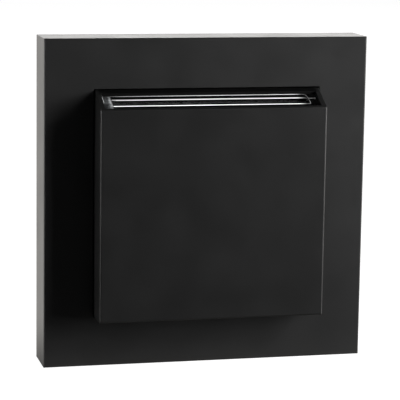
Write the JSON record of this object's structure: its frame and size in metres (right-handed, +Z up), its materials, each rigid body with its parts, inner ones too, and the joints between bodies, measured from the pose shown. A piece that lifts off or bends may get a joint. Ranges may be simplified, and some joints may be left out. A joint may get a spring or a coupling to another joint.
{
  "type": "room card switch",
  "caption": "Square flush wall switch worked by a room card: flat frame, raised card pocket with a lit slot in its slanted top, and a claw-held insert.",
  "frame": {"origin": "middle of the wall plane, centred between the two box screw holes", "axes": "+Z up, +X to the right seen from the front, +Y into the wall; the front looks along -Y"},
  "size_m": [0.09, 0.0482, 0.09],
  "materials": {
    "black_plastic": "fine satin",
    "pale_plastic": "moulded",
    "sheet_steel": "stamped",
    "zinc_plate": "zinc plated",
    "brass": "stamped",
    "grey_plastic": "moulded",
    "clear_plastic": "polished clear",
    "white_plastic": "moulded",
    "led_lens": "diffuse lens"
  },
  "bodies": {
    "mounted": {"frame": "black_plastic", "pocket_front": "black_plastic", "pocket_back": "black_plastic", "insert_housing": "pale_plastic", "insert_cap": "pale_plastic", "support_plate": "sheet_steel", "lever_pin": "sheet_steel", "plunger_spring": "sheet_steel", "clamp_springs": "sheet_steel", "plate_rivets": "zinc_plate", "fixed_contact_left": "brass", "fixed_contact_right": "brass", "lamp_contact_left": "brass", "lamp_contact_right": "brass", "lamp_pins": "brass", "light_guide": "clear_plastic", "lamp_module": "white_plastic", "lamp_led": "led_lens"},
    "lever": {"card_lever": "pale_plastic"},
    "plunger_group": {"plunger": "pale_plastic", "contact_bridge": "brass"},
    "release_left": {"release_lever_left": "grey_plastic"},
    "release_right": {"release_lever_right": "grey_plastic"},
    "claw_top": {"claw_top": "zinc_plate"},
    "claw_bottom": {"claw_bottom": "zinc_plate"},
    "nut_top": {"claw_nut_top": "sheet_steel"},
    "nut_bottom": {"claw_nut_bottom": "sheet_steel"},
    "screw_top": {"claw_screw_top": "zinc_plate"},
    "screw_bottom": {"claw_screw_bottom": "zinc_plate"}
  },
  "joints": [
    {"name": "lever_turn", "type": "hinge", "parent": "mounted", "child": "lever", "pos_m": [0, -0.0109, 0.006], "axis": [1, 0, 0], "range_deg": [0, 7.05]},
    {"name": "plunger_slide", "type": "slide", "parent": "mounted", "child": "plunger_group", "axis": [0, 1, 0], "range_m": [0, 0.00183], "stiffness_N_per_m": 200, "springref_m": -0.0003, "deforming": ["plunger_spring"]},
    {"name": "release_left_push", "type": "slide", "parent": "mounted", "child": "release_left", "axis": [0, -1, 0], "range_m": [0, 0.0008], "stiffness_N_per_m": 800},
    {"name": "release_right_push", "type": "slide", "parent": "mounted", "child": "release_right", "axis": [0, -1, 0], "range_m": [0, 0.0008], "stiffness_N_per_m": 800},
    {"name": "claw_top_turn", "type": "hinge", "parent": "mounted", "child": "claw_top", "pos_m": [0, 0.0026, 0.0216], "axis": [1, 0, 0], "range_deg": [0, 25.1]},
    {"name": "nut_top_slide", "type": "slide", "parent": "mounted", "child": "nut_top", "axis": [0, -1, 0], "range_m": [0, 0.0017]},
    {"name": "screw_top_spin", "type": "hinge", "parent": "mounted", "child": "screw_top", "pos_m": [0, 0, 0.0256], "axis": [0, 1, 0], "range_deg": [0, 1226]},
    {"name": "claw_bottom_turn", "type": "hinge", "parent": "mounted", "child": "claw_bottom", "pos_m": [0, 0.0026, -0.0216], "axis": [-1, 0, 0], "range_deg": [0, 25.1]},
    {"name": "nut_bottom_slide", "type": "slide", "parent": "mounted", "child": "nut_bottom", "axis": [0, -1, 0], "range_m": [0, 0.0017]},
    {"name": "screw_bottom_spin", "type": "hinge", "parent": "mounted", "child": "screw_bottom", "pos_m": [0, 0, -0.0256], "axis": [0, 1, 0], "range_deg": [0, 1226]}
  ],
  "couplings": [
    {"joint": "lever_turn", "follows": "plunger_slide", "rad_per_m": 66.667},
    {"joint": "claw_top_turn", "follows": "nut_top_slide", "rad_per_m": 256.67},
    {"joint": "screw_top_spin", "follows": "nut_top_slide", "rad_per_m": 12566},
    {"joint": "claw_bottom_turn", "follows": "nut_bottom_slide", "rad_per_m": 256.67},
    {"joint": "screw_bottom_spin", "follows": "nut_bottom_slide", "rad_per_m": 12566}
  ]
}
